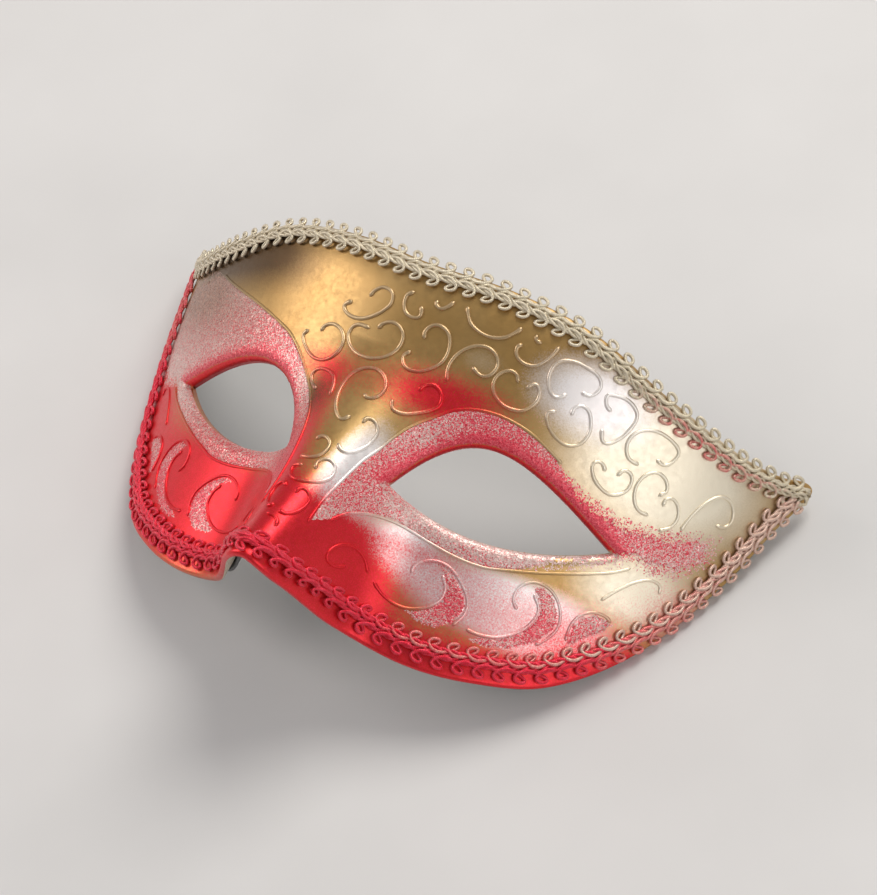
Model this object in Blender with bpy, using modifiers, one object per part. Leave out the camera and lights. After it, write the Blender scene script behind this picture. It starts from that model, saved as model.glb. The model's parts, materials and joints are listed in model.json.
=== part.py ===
"""A venetian half mask, lying face up on the rim of its thin shell.

The mask is drawn flat, as a pattern: u runs across the face from the middle, v runs up the
forehead, and w is the height over the outer face, all in millimetres. wrap() bends the pattern
round the head, in metres, with +X across the face, +Y up the forehead and +Z to the front.
One empty then tips the whole mask on to its rim and puts it down on the floor.
"""

import math

import bmesh
import bpy
from mathutils import Matrix, Vector
from mathutils.geometry import interpolate_bezier

MM = 0.001

# The head that the pattern wraps round.
WRAP_RADIUS = 98.7  # turn across the face
WRAP_DEPTH = 118.9  # how fast the sides fall back
BROW_V = 26.9  # above this the forehead leans back
BROW_FALL = 0.019  # mm of fall for each mm squared past BROW_V
CHEEK_V = -9.8  # below this the cheeks come forward
CHEEK_RISE = 0.0034
SOCKET = (34.0, 20.0, 14.0, 1.0)  # low dome round each eye: centre u, half widths in u and v, height
NOSE_ROOT_V = 17.8
NOSE_FOOT_V = -32.0
NOSE_HEIGHT = 27.0  # at the foot
NOSE_SLOPE = 1.11  # 1 is a straight ridge
NOSE_HALF_WIDTH = (14.2, 12.6)  # at the root and at the foot
NOSE_FLANK = 2.2  # 2 is a bell curve, more is a squarer ridge

REST_TILT = math.radians(29.5)  # the mask rocks back on its temples until it balances here

SHELL_THICKNESS = 1.8
LINING_GAP = 0.4
LINING_THICKNESS = 0.8
TOUCH_GAP = 0.3  # between any two pieces that touch

# Right half of the shell's outline, from the forehead's middle round the temple to the nose.
OUTLINE = (
    (0.0, 38.3), (20.0, 39.0), (40.0, 36.7), (60.0, 29.6), (80.0, 23.7), (91.0, 22.8), (96.8, 23.7),
    (99.0, 22.6), (98.2, 19.4), (93.9, 11.2), (87.5, -3.5), (74.7, -24.9), (60.0, -38.7),
    (45.0, -43.7), (30.0, -45.3), (16.0, -43.2), (8.0, -38.5), (0.0, -35.1),
)
TIP = 7  # the outline's point at the temple, where the two runs of braid meet

# One eye hole, as two Bezier arcs from the inner corner to the outer one.
EYE_UPPER = ((14.2, -10.4), (23.8, 14.6), (41.2, 3.6), (61.4, -6.7))
EYE_LOWER = ((14.2, -10.4), (24.4, -17.2), (43.3, -16.6), (61.4, -6.7))
EYE_STEPS = 18

LINING_INSET = 3.0
LINING_EYE_MARGIN = 1.5
NOSE_NOTCH = ((-9.0, -60.0), (-9.0, -14.0), (-6.5, 2.0), (0.0, 7.0), (6.5, 2.0), (9.0, -14.0), (9.0, -60.0))

# The braid: a flat plaited core with a scroll cord along each side.
BRAID_INSET_TOP = 3.0  # from the shell's edge to the braid's middle
BRAID_INSET_BOTTOM = 4.7
BRAID_LOWER_V = (-18.0, -36.0)  # the lower run moves further in between these heights
BRAID_NOSE_U = 14.0  # and back out to the edge within this distance of the nose's middle
BRAID_LIFT = 0.55  # clear of the shell's facets where they bridge the hollow beside the nose
CORE_HALF_WIDTH = 1.45
CORE_THICKNESS = 1.3
CORD_RADIUS = 0.65
CORD_OFFSET = 2.45
TOP_RUN_TRIM = (3.0, 3.0)  # each run stops this far short of the point of the temple
BOTTOM_RUN_TRIM = (9.0, 9.0)

BEAD_RADIUS = 0.45
ANCHOR_SIZE = (15.0, 9.0, 1.2)
ANCHOR_PLACE = (82.0, 8.0)
ANCHOR_SAG = 0.35  # the flat patch stands off the curved lining by this much more at its middle

SHELL_GRID = (52, 19)  # columns and rows
LINING_GRID = (36, 12)
GRID_HALF_U = 104.0
GRID_LOW_V = -49.0
GRID_HIGH_V = 43.0
NOSE_CROWDING = 0.5  # columns at the nose are this much closer together than on average

# Raised scrolls of the forehead and the nose, each a smooth line through these points.
RELIEF_SCROLLS = (
    (
        (-10, 26.5), (-9.5, 28), (-7.5, 29.5), (-4.8, 28.8), (-4.5, 26), (-8.5, 22), (-12.5, 21),
        (-15.5, 22.5), (-14, 24.3),
    ),
    ((0, 31), (-1.4, 29.4), (-0.5, 26.5), (1.5, 25.5), (3.5, 26.3), (3, 28.5)),
    ((6, 31), (6, 30), (7.5, 29.5), (9, 30.8), (9.6, 32)),
    ((12.8, 32), (13.5, 30.7), (15.5, 28.5), (19.5, 27.5), (23, 28.5), (25.3, 31), (25.7, 32)),
    ((31, 30.3), (29.7, 30.5), (29.2, 31.7)),
    ((34.7, 31), (34, 28.5), (32, 25.6), (29.5, 24.8), (27.2, 25.7), (26.5, 27.5), (27.3, 28.6)),
    (
        (42.5, 23.5), (44.7, 23.6), (46, 26), (44.8, 28), (42.2, 28.9), (38.5, 29.1), (35.8, 27.8),
        (35, 25), (36, 21.8), (38, 20.5), (40, 22),
    ),
    (
        (29.5, 20.5), (28.5, 22), (26.7, 22.2), (24.9, 20.5), (24.6, 18.3), (26, 16), (29, 14.6),
        (32.6, 15.2), (34.6, 18), (34.4, 20.4), (33, 21.5), (31.5, 20),
    ),
    (
        (6.5, 22), (6, 23.5), (7, 25.3), (9, 25.9), (11.4, 24.8), (12.6, 22), (12.4, 19),
        (10.5, 16.4), (8, 14.8), (5.2, 14.8), (3.5, 16.8), (4.5, 18.5),
    ),
    (
        (15, 15.2), (14, 18), (14.7, 21.2), (17, 24), (20, 25.2), (22.6, 24.5), (24, 22.4),
        (23.4, 20), (21.5, 19), (19, 20),
    ),
    (
        (-5, 20.5), (-4.4, 21.8), (-2.5, 22.9), (-0.3, 22.7), (1.4, 21.2), (1.7, 19), (0.6, 16.2),
        (-2, 14.2), (-5.5, 13.6), (-9, 14.5), (-11.4, 16.8), (-11.4, 18.7), (-10, 19.9), (-7, 20),
    ),
    (
        (-19, 15.5), (-18.5, 17), (-16.5, 18), (-14, 17.5), (-12.1, 15.7), (-11.7, 13.3),
        (-12.8, 11), (-15, 9.7), (-18, 9.6), (-21, 11), (-23.3, 13.3), (-22.5, 15),
    ),
    (
        (0.5, 6), (2, 5.5), (3.5, 6.4), (4.1, 8.1), (3.4, 10.1), (1.5, 11.6), (-1, 12), (-3.5, 11),
        (-5.1, 9), (-5.5, 6.2), (-4.8, 3), (-3, 0.5), (-0.5, -0.9), (1, 0.5),
    ),
    (
        (10.5, 11), (11, 12.4), (12.5, 13.3), (14.2, 12.9), (15.6, 11.4), (15.8, 9.6), (14.6, 7.9),
        (12.2, 6.2), (10, 5.1), (7.8, 5.2), (6.5, 7.2),
    ),
    (
        (-12.5, 3.2), (-14.6, 4.2), (-15.8, 6), (-14.8, 7.5), (-12.5, 8), (-9.8, 7.5), (-8, 5.6),
        (-7.2, 3),
    ),
    (
        (4, 0), (4.3, 1.2), (5.4, 1.4), (6.6, 0.8), (7.6, -0.8), (7.6, -2.9), (6.9, -5),
        (5.6, -6.6), (3.8, -7.2), (2.2, -6.1),
    ),
    ((-3, -7), (-2.2, -6), (-0.8, -5.8), (0.6, -6.6), (1, -8.2), (0.3, -10), (-1.6, -11.1), (-4, -11.5)),
    (
        (1.5, -13), (0.9, -11.6), (1.6, -10.4), (3, -10.1), (4.5, -11.1), (5, -13), (4.2, -14.7),
        (2.5, -15.8), (0.2, -16.4), (-2, -16.4), (-3.7, -15.4), (-3.8, -14), (-1.8, -13.1),
    ),
    (
        (1, -19.2), (1.3, -18), (2.6, -17.9), (4, -19.2), (4.2, -21.1), (3.5, -23), (2, -24.1),
        (0.4, -23.8),
    ),
    ((-1.6, -25.4), (0.4, -25.3), (1.8, -26.2), (2, -27.4)),
    ((-2, -18.6), (-3.4, -18), (-4.6, -19.2), (-4.8, -21.2), (-4, -23), (-2.6, -23.8), (-1.4, -23)),
    (
        (50, 22), (48.5, 23), (48, 25), (49.5, 25.6), (52, 25.7), (54.2, 24.7), (55.4, 23),
        (55, 20), (53.5, 17), (51, 15.2), (49.4, 17.8),
    ),
    (
        (42.5, 18), (42.5, 19.7), (43.7, 20.8), (45.4, 20.4), (46.7, 18.5), (47.3, 15.8),
        (46.4, 13), (44, 11.7), (41, 12.5), (38.6, 14.5), (37.7, 16.6), (39.3, 17.7),
    ),
    (
        (62.5, 16), (64.5, 15.5), (66, 17), (66.4, 19.3), (64.4, 20.9), (61, 21.7), (58, 21),
        (56, 19), (55.6, 16.4), (57, 14), (59.5, 13.5),
    ),
    (
        (53.5, 9.5), (52, 10.9), (50.6, 10.3), (51, 8.3), (53, 6.2), (56, 5.2), (58.4, 6.4),
        (59.4, 8.6), (58.8, 10.8), (57.1, 11.2), (56, 9.5),
    ),
    (
        (65.8, 8.8), (67, 10.5), (66.1, 12.5), (64, 13.4), (61.9, 12.3), (60.7, 9.7), (61, 6.8),
        (62.7, 4.4), (65.3, 4),
    ),
    ((67.5, 7), (67.6, 8.7), (69, 9.3), (70.7, 8), (71.4, 5.6), (70.5, 3.2), (68.5, 1.7)),
    (
        (73, 3.5), (73.7, 6.2), (75, 9.4), (77, 12.4), (79, 13.8), (81, 13.5), (82.6, 11.6),
        (83, 9.4), (82, 7.8), (80, 7.4),
    ),
)

# Raised lines of the right cheek, which the left cheek mirrors.
CHEEK_SWIRLS = (
    (
        (13.4, -30), (12.2, -30.9), (10.9, -30.2), (10.6, -28.2), (11.4, -26.2), (13, -25.6),
        (15, -27), (16.6, -29.8),
    ),
    (
        (18, -31.2), (20.2, -33), (22.7, -33.9), (25.7, -33.9), (29, -32.4), (31.4, -29.6),
        (31.4, -26.8), (29.8, -24.4),
    ),
    (
        (23.5, -26.5), (23.7, -24.5), (25.6, -22.7), (28.3, -22), (31.2, -22.6), (34.5, -24.9),
        (36.9, -27.8), (37.3, -30.6), (36, -33.8),
    ),
    (
        (47, -25.5), (45.5, -23.7), (45.5, -21), (47.3, -19), (50, -18.4), (53, -19.5),
        (55.5, -22.4), (56.4, -25.8), (55.5, -28.6), (53.5, -31.2),
    ),
    ((49, -20.9), (51, -23.4), (51.2, -26), (49.5, -29.5), (46, -32.4), (42, -33.5), (39, -33.4)),
    ((59, -28), (58.7, -24.6), (59.8, -21.6), (62.3, -20), (65, -20), (66.4, -20.8)),
    ((62.5, -17), (65, -13.7), (68, -10.6), (71, -9), (73.2, -9.4), (73.8, -11.2)),
)

# Raised borders of the glitter round the eyes; the left lower one mirrors the right.
EYE_BORDERS = {
    "right_upper": (
        (6, -24), (6, -19), (6.6, -14), (8, -7.5), (9.6, -3.5), (10.6, -0.5), (12.4, 3), (15.4, 6.4),
        (18.8, 9.6), (22.5, 11.4), (27.3, 12.3), (32, 12.1), (36.5, 11.1), (40.5, 9.5), (44.5, 7.6),
    ),
    "left_upper": (
        (-6.4, -24), (-6.4, -19), (-7, -14), (-8.4, -8), (-9.8, -4), (-11.4, -1), (-14.5, 2.8),
        (-17.5, 5.6), (-22, 9.4), (-27, 12.6), (-32, 14.3), (-38, 15.8), (-44.5, 17.1), (-51, 18.1),
        (-58, 19.2), (-62.5, 20.1),
    ),
    "right_lower": (
        (8.5, -22), (10.3, -19.2), (13.4, -17.8), (17.5, -17.6), (24, -18.8), (30.5, -19.7),
        (37, -19.6), (42, -18.3), (47.5, -16.6), (53, -14.6), (58, -12.6), (62.5, -10.5), (66, -8.2),
    ),
}
EYE_BORDERS["left_lower"] = tuple((-u, v) for u, v in EYE_BORDERS["right_lower"])

COLOURS = {
    "shell": ((0.62, 0.46, 0.24), 0.34, 0.85),
    "scroll": ((0.85, 0.76, 0.56), 0.3, 0.85),
    "swirl": ((0.8, 0.3, 0.3), 0.4, 0.6),
    "braid_gold": ((0.72, 0.63, 0.44), 0.5, 0.4),
    "braid_red": ((0.72, 0.06, 0.1), 0.5, 0.4),
    "lining": ((0.03, 0.03, 0.035), 0.95, 0.0),
    "anchor": ((0.05, 0.05, 0.055), 0.9, 0.0),
}


def start_collection():
    """Clear the scene, and make the mask's own collection."""
    for old in list(bpy.data.objects):
        bpy.data.objects.remove(old)
    collection = bpy.data.collections.new("venetian_mask")
    bpy.context.scene.collection.children.link(collection)
    return collection


def material(slot):
    colour, roughness, metallic = COLOURS[slot]
    found = bpy.data.materials.get(slot)
    if found:
        return found
    made = bpy.data.materials.new(slot)
    made.use_nodes = True
    shader = made.node_tree.nodes["Principled BSDF"]
    shader.inputs["Base Color"].default_value = (*colour, 1.0)
    shader.inputs["Roughness"].default_value = roughness
    shader.inputs["Metallic"].default_value = metallic
    return made


def face_height(u, v):
    """How far forward the outer face is, without the wrap round the head."""
    height = -BROW_FALL * max(v - BROW_V, 0.0) ** 2
    height += CHEEK_RISE * max(CHEEK_V - v, 0.0) ** 2
    centre, wide, tall, rise = SOCKET
    height += rise * math.exp(-(((abs(u) - centre) / wide) ** 2) - (v / tall) ** 2)
    down = min(max((NOSE_ROOT_V - v) / (NOSE_ROOT_V - NOSE_FOOT_V), 0.0), 1.3)
    half_width = NOSE_HALF_WIDTH[0] + (NOSE_HALF_WIDTH[1] - NOSE_HALF_WIDTH[0]) * down
    height += NOSE_HEIGHT * down**NOSE_SLOPE * math.exp(-((abs(u) / half_width) ** NOSE_FLANK))
    return height


def outer_face(u, v):
    turn = u / WRAP_RADIUS
    fall = WRAP_DEPTH * (1.0 - math.cos(turn))
    return Vector((WRAP_RADIUS * math.sin(turn), v, face_height(u, v) - fall))


def face_frame(u, v, step=0.05):
    """The outer face's point with its unit directions across, up and out."""
    across = (outer_face(u + step, v) - outer_face(u - step, v)).normalized()
    up = (outer_face(u, v + step) - outer_face(u, v - step)).normalized()
    return outer_face(u, v), across, up, across.cross(up).normalized()


def wrap(u, v, w):
    """A point of the flat pattern, bent round the head, in metres."""
    point, _, _, out = face_frame(u, v)
    return (point + out * w) * MM


def smooth_line(points, spacing, closed=False):
    """Points at most about spacing apart on a smooth curve through the given ones."""
    knots = [Vector(point) for point in points]
    last = len(knots) - 1

    def heading(index):
        if closed:
            return (knots[(index + 1) % len(knots)] - knots[index - 1]).normalized()
        return (knots[min(index + 1, last)] - knots[max(index - 1, 0)]).normalized()

    line = []
    for index in range(last + 1 if closed else last):
        after = (index + 1) % len(knots)
        start, end = knots[index], knots[after]
        reach = (end - start).length / 3.0
        steps = math.ceil((end - start).length / spacing)
        start_handle = start + heading(index) * reach
        end_handle = end - heading(after) * reach
        line.extend(interpolate_bezier(start, start_handle, end_handle, end, steps + 1)[:-1])
    if not closed:
        line.append(knots[-1])
    return line


def mirrored(points):
    return [(-u, v) for u, v in points]


def both_sides(half):
    """The right half's points followed by the left half's, as one closed run."""
    return list(half) + mirrored(half[-2:0:-1])


def inset(line, distance, closed=True):
    """The line moved to its right by distance, which is inwards on a clockwise outline."""
    moved = []
    for index, point in enumerate(line):
        if closed:
            before, after = line[index - 1], line[(index + 1) % len(line)]
        else:
            before, after = line[max(index - 1, 0)], line[min(index + 1, len(line) - 1)]
        along = (Vector(after) - Vector(before)).normalized()
        far = distance(point) if callable(distance) else distance
        moved.append(Vector(point) + Vector((along.y, -along.x)) * far)
    return moved


def without_loops(moved, line, distance):
    """A moved outline without the points that crossed over themselves at a tight bend."""
    return [point for point in moved if min((point - near).length for near in line) > 0.96 * distance]


def thinned(line, longest, sharpest):
    """Fewer of the line's points: one each time it has run on or turned far enough."""
    places = [wrap(u, v, 0.0) / MM for u, v in line]
    kept = [0]
    for index in range(1, len(line) - 1):
        run = places[index] - places[kept[-1]]
        ahead = places[index + 1] - places[index]
        if run.length > longest or run.angle(ahead) > sharpest:
            kept.append(index)
    kept.append(len(line) - 1)
    return [line[index] for index in kept]


def trimmed(line, start_length, end_length):
    """The line without its first and last stretches."""
    run = [0.0]
    for one, two in zip(line, line[1:]):
        run.append(run[-1] + (two - one).length)
    return [point for point, at in zip(line, run) if start_length <= at <= run[-1] - end_length]


def eye_outline(margin=0.0):
    """The right eye hole, clockwise, and wider all round by margin."""
    upper = interpolate_bezier(*map(Vector, EYE_UPPER), EYE_STEPS)
    lower = interpolate_bezier(*map(Vector, EYE_LOWER), EYE_STEPS)
    return inset(upper + lower[-2:0:-1], -margin)


def prism(name, outline):
    """A tall upright prism on a flat outline, to cut the pattern with."""
    curve = bpy.data.curves.new(name, "CURVE")
    curve.dimensions = "2D"
    curve.fill_mode = "BOTH"
    curve.extrude = 10.0
    spline = curve.splines.new("POLY")
    spline.points.add(len(outline) - 1)
    for point, (u, v) in zip(spline.points, outline):
        point.co = (u, v, 0.0, 1.0)
    spline.use_cyclic_u = True
    drawn = bpy.data.objects.new(name, curve)
    bpy.context.scene.collection.objects.link(drawn)
    mesh = evaluated_mesh(drawn)
    bpy.data.objects.remove(drawn)
    shape = bpy.data.objects.new(name, mesh)
    bpy.context.scene.collection.objects.link(shape)
    return shape


def evaluated_mesh(shape):
    """The object's mesh with its modifiers applied and its doubled points merged."""
    bpy.context.view_layer.update()
    mesh = bpy.data.meshes.new_from_object(shape.evaluated_get(bpy.context.evaluated_depsgraph_get()))
    work = bmesh.new()
    work.from_mesh(mesh)
    bmesh.ops.remove_doubles(work, verts=work.verts, dist=0.0001)
    bmesh.ops.recalc_face_normals(work, faces=work.faces)
    work.to_mesh(mesh)
    work.free()
    return mesh


def flat_sheet(grid, thickness):
    """The pattern before it is cut: a thick grid whose columns crowd together at the nose."""
    bpy.ops.mesh.primitive_grid_add(x_subdivisions=grid[0], y_subdivisions=grid[1], size=2.0)
    sheet = bpy.context.object
    middle_v = (GRID_HIGH_V + GRID_LOW_V) / 2.0
    half_v = (GRID_HIGH_V - GRID_LOW_V) / 2.0
    for vertex in sheet.data.vertices:
        across, up, _ = vertex.co
        spread = NOSE_CROWDING * across + (1.0 - NOSE_CROWDING) * across**3
        vertex.co = (GRID_HALF_U * spread, middle_v + half_v * up, 0.0)
    solid = sheet.modifiers.new("thickness", "SOLIDIFY")
    solid.thickness = thickness
    solid.offset = -1.0
    return sheet


def bent_shell(name, outline, holes, grid, layer, slot, stand):
    """A sheet cut to the outline and the holes while flat, then bent round the head."""
    top, thickness = layer
    sheet = flat_sheet(grid, thickness)
    cutters = [prism("outline", outline)] + [prism("hole", hole) for hole in holes]
    for index, cutter in enumerate(cutters):
        cut = sheet.modifiers.new(cutter.name, "BOOLEAN")
        cut.operation = "DIFFERENCE" if index else "INTERSECT"
        cut.object = cutter
    mesh = evaluated_mesh(sheet)
    for used in [sheet, *cutters]:
        bpy.data.objects.remove(used)
    work = bmesh.new()
    work.from_mesh(mesh)
    bmesh.ops.triangulate(work, faces=work.faces)
    for vertex in work.verts:
        u, v, w = vertex.co
        vertex.co = wrap(u, v, w + top)
    bmesh.ops.recalc_face_normals(work, faces=work.faces)
    work.to_mesh(mesh)
    work.free()
    mesh.shade_smooth()
    mesh.set_sharp_from_angle(angle=math.radians(50.0))
    return finish(name, mesh, slot, stand)


def finish(name, data, slot, stand):
    """Name a piece, colour it and hang it on the stand."""
    data.name = name
    data.materials.append(material(slot))
    piece = bpy.data.objects.new(name, data)
    stand["collection"].objects.link(piece)
    piece.parent = stand["empty"]
    return piece


def cord(name, line, height, radius, sides, slot, stand):
    """A round cord whose middle runs over the flat line at one height."""
    curve = bpy.data.curves.new(name, "CURVE")
    curve.dimensions = "3D"
    curve.bevel_depth = radius * MM
    curve.bevel_resolution = sides // 2 - 2
    curve.use_fill_caps = True
    spline = curve.splines.new("POLY")
    spline.points.add(len(line) - 1)
    for point, (u, v) in zip(spline.points, line):
        point.co = (*wrap(u, v, height), 1.0)
    return finish(name, curve, slot, stand)


def bead(name, points, slot, stand):
    """One raised line of the relief."""
    line = thinned(smooth_line(points, 0.8), longest=3.5, sharpest=math.radians(38.0))
    return cord(name, line, BEAD_RADIUS + TOUCH_GAP, BEAD_RADIUS, 4, slot, stand)


def strip(name, line, half_width, low, thickness, slot, stand):
    """A flat band along the line: an open strip of faces with its thickness from Solidify."""
    rails = [inset(line, side * half_width, closed=False) for side in (-1.0, 1.0)]
    work = bmesh.new()
    rungs = [[work.verts.new(wrap(*point, low)) for point in pair] for pair in zip(*rails)]
    for (left, right), (next_left, next_right) in zip(rungs, rungs[1:]):
        work.faces.new((left, right, next_right, next_left))
    work.normal_update()
    mesh = bpy.data.meshes.new(name)
    work.to_mesh(mesh)
    work.free()
    band = finish(name, mesh, slot, stand)
    solid = band.modifiers.new("thickness", "SOLIDIFY")
    solid.thickness = thickness * MM
    solid.offset = 1.0
    return band


def braid(side, line, slot, stand):
    """A run of gimp braid: the plaited core between its two scroll cords."""
    path = thinned(line, longest=5.0, sharpest=math.radians(14.0))
    strip(f"{side}_braid_core", path, CORE_HALF_WIDTH, BRAID_LIFT, CORE_THICKNESS, slot, stand)
    for place, offset in (("outer", -CORD_OFFSET), ("inner", CORD_OFFSET)):
        edge = thinned(inset(line, offset, closed=False), longest=5.0, sharpest=math.radians(14.0))
        height = CORD_RADIUS + BRAID_LIFT
        cord(f"{side}_braid_{place}_scroll", edge, height, CORD_RADIUS, 4, slot, stand)


def bottom_inset(point):
    """The lower run sits further in, which leaves the shell's smooth edge showing below it."""
    start, end = BRAID_LOWER_V
    low = min(max((start - point.y) / (start - end), 0.0), 1.0)
    beside_nose = min(abs(point.x) / BRAID_NOSE_U, 1.0)
    return BRAID_INSET_TOP + (BRAID_INSET_BOTTOM - BRAID_INSET_TOP) * low * beside_nose


def tie_anchor(name, side, stand):
    """A flat felt patch glued to the lining at the temple, where a tie is fastened."""
    u, v = ANCHOR_PLACE
    point, across, up, out = face_frame(side * u, v)
    depth = SHELL_THICKNESS + LINING_GAP + LINING_THICKNESS + TOUCH_GAP + ANCHOR_SAG + ANCHOR_SIZE[2] / 2.0
    bpy.ops.mesh.primitive_cube_add(size=1.0)
    block = bpy.context.object
    mesh = block.data
    bpy.data.objects.remove(block)
    mesh.transform(Matrix.Diagonal((*[size * MM for size in ANCHOR_SIZE], 1.0)))
    patch = finish(name, mesh, "anchor", stand)
    patch.rotation_euler = Matrix((across, out.cross(across), out)).transposed().to_euler()
    patch.location = (point - out * depth) * MM
    edge = patch.modifiers.new("edge", "BEVEL")
    edge.width = 0.25 * MM
    edge.segments = 1
    return patch


def put_down(stand):
    """Move the stand so that the mask's lowest point is on the floor and its middle over the origin."""
    bpy.context.view_layer.update()
    depsgraph = bpy.context.evaluated_depsgraph_get()
    corners = []
    for piece in stand["collection"].objects:
        if piece.type == "EMPTY":
            continue
        solid = piece.evaluated_get(depsgraph)
        mesh = solid.to_mesh()
        corners.extend(piece.matrix_world @ vertex.co for vertex in mesh.vertices)
        solid.to_mesh_clear()
    low = [min(corner[axis] for corner in corners) for axis in range(3)]
    high = [max(corner[axis] for corner in corners) for axis in range(3)]
    stand["empty"].location = (-(low[0] + high[0]) / 2.0, -(low[1] + high[1]) / 2.0, -low[2])


def build_mask():
    collection = start_collection()
    empty = bpy.data.objects.new("stand", None)
    empty.rotation_euler.x = REST_TILT
    collection.objects.link(empty)
    stand = {"collection": collection, "empty": empty}

    rim = smooth_line(both_sides(OUTLINE), 3.5, closed=True)
    eyes = [eye_outline(), mirrored(eye_outline())]
    bent_shell("mask_shell", rim, eyes, SHELL_GRID, (0.0, SHELL_THICKNESS), "shell", stand)

    lined_eyes = [eye_outline(LINING_EYE_MARGIN), mirrored(eye_outline(LINING_EYE_MARGIN))]
    layer = (-SHELL_THICKNESS - LINING_GAP, LINING_THICKNESS)
    lined = without_loops(inset(rim, LINING_INSET), rim, LINING_INSET)
    bent_shell("felt_lining", lined, [*lined_eyes, NOSE_NOTCH], LINING_GRID, layer, "lining", stand)
    for name, side in (("tie_anchor_right", 1.0), ("tie_anchor_left", -1.0)):
        tie_anchor(name, side, stand)

    top = smooth_line(mirrored(OUTLINE[TIP:0:-1]) + list(OUTLINE[: TIP + 1]), 1.0)
    bottom = smooth_line(list(OUTLINE[TIP:]) + mirrored(OUTLINE[-2 : TIP - 1 : -1]), 1.0)
    top = trimmed(inset(top, BRAID_INSET_TOP, closed=False), *TOP_RUN_TRIM)
    bottom = trimmed(inset(bottom, bottom_inset, closed=False), *BOTTOM_RUN_TRIM)
    braid("top", top, "braid_gold", stand)
    braid("bottom", bottom, "braid_red", stand)

    for number, points in enumerate(RELIEF_SCROLLS, start=1):
        bead(f"relief_scroll_{number:02d}", points, "scroll", stand)
    for number, points in enumerate(CHEEK_SWIRLS, start=1):
        bead(f"cheek_swirl_right_{number}", points, "swirl", stand)
        bead(f"cheek_swirl_left_{number}", mirrored(points), "swirl", stand)
    for place, points in EYE_BORDERS.items():
        bead(f"eye_border_{place}", points, "swirl", stand)
    put_down(stand)


build_mask()
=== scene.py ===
"""The looks of a venetian half mask that lies face up on its rim.

The mask is drawn flat in millimetres, u across the face and v up the forehead, and bent round the
head by outer_face(). Heights over the outer face are w. Everything rides on the one rigid body.
"""

import json
import math

import bpy
import numpy as np
from mathutils import Matrix, Vector
from mathutils.geometry import delaunay_2d_cdt


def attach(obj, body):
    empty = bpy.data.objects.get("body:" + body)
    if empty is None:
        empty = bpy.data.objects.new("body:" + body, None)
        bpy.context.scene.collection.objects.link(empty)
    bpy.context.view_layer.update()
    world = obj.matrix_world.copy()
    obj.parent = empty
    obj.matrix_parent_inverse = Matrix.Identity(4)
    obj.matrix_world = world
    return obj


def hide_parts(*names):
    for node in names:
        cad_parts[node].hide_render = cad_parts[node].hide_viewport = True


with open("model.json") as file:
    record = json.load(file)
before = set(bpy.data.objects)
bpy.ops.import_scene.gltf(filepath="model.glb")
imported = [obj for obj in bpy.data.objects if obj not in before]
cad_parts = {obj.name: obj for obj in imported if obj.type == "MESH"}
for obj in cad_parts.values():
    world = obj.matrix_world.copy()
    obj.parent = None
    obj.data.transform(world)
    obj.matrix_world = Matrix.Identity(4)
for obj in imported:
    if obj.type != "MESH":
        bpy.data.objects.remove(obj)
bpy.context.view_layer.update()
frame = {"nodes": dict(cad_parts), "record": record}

MM = 0.001
SEED = 7

# The head that the pattern wraps round, as the solids have it.
WRAP_RADIUS = 98.7
WRAP_DEPTH = 118.9
BROW_V = 26.9
BROW_FALL = 0.019
CHEEK_V = -9.8
CHEEK_RISE = 0.0034
SOCKET = (34.0, 20.0, 14.0, 1.0)
NOSE_ROOT_V = 17.8
NOSE_FOOT_V = -32.0
NOSE_HEIGHT = 27.0
NOSE_SLOPE = 1.11
NOSE_HALF_WIDTH = (14.2, 12.6)
NOSE_FLANK = 2.2
REST_TILT = math.radians(29.5)

SHELL_THICKNESS = 1.8
LINING_TOP = -2.2
LINING_THICKNESS = 0.8
LINING_INSET = 3.0
LINING_EYE_MARGIN = 1.5
ANCHOR_SIZE = (15.0, 9.0, 1.2)
ANCHOR_PLACE = (82.0, 8.0)
ANCHOR_DEPTH = 4.25  # from the outer face to the patch's middle

OUTLINE = (
    (0.0, 38.3), (20.0, 39.0), (40.0, 36.7), (60.0, 29.6), (80.0, 23.7), (91.0, 22.8), (96.8, 23.7),
    (99.0, 22.6), (98.2, 19.4), (93.9, 11.2), (87.5, -3.5), (74.7, -24.9), (60.0, -38.7),
    (45.0, -43.7), (30.0, -45.3), (16.0, -43.2), (8.0, -38.5), (0.0, -35.1),
)
EYE_UPPER = ((14.2, -10.4), (23.8, 14.6), (41.2, 3.6), (61.4, -6.7))
EYE_LOWER = ((14.2, -10.4), (24.4, -17.2), (43.3, -16.6), (61.4, -6.7))
NOSE_NOTCH = ((-9.0, -60.0), (-9.0, -14.0), (-6.5, 2.0), (0.0, 7.0), (6.5, 2.0), (9.0, -14.0), (9.0, -60.0))
EYE_ROLL = (2.8, 1.7)  # the rim of an eye hole rolls in over this width, by this much

BRAID_INSET_TOP = 3.0
BRAID_INSET_BOTTOM = 4.7
BRAID_LOWER_V = (-18.0, -36.0)
BRAID_NOSE_U = 14.0

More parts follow.
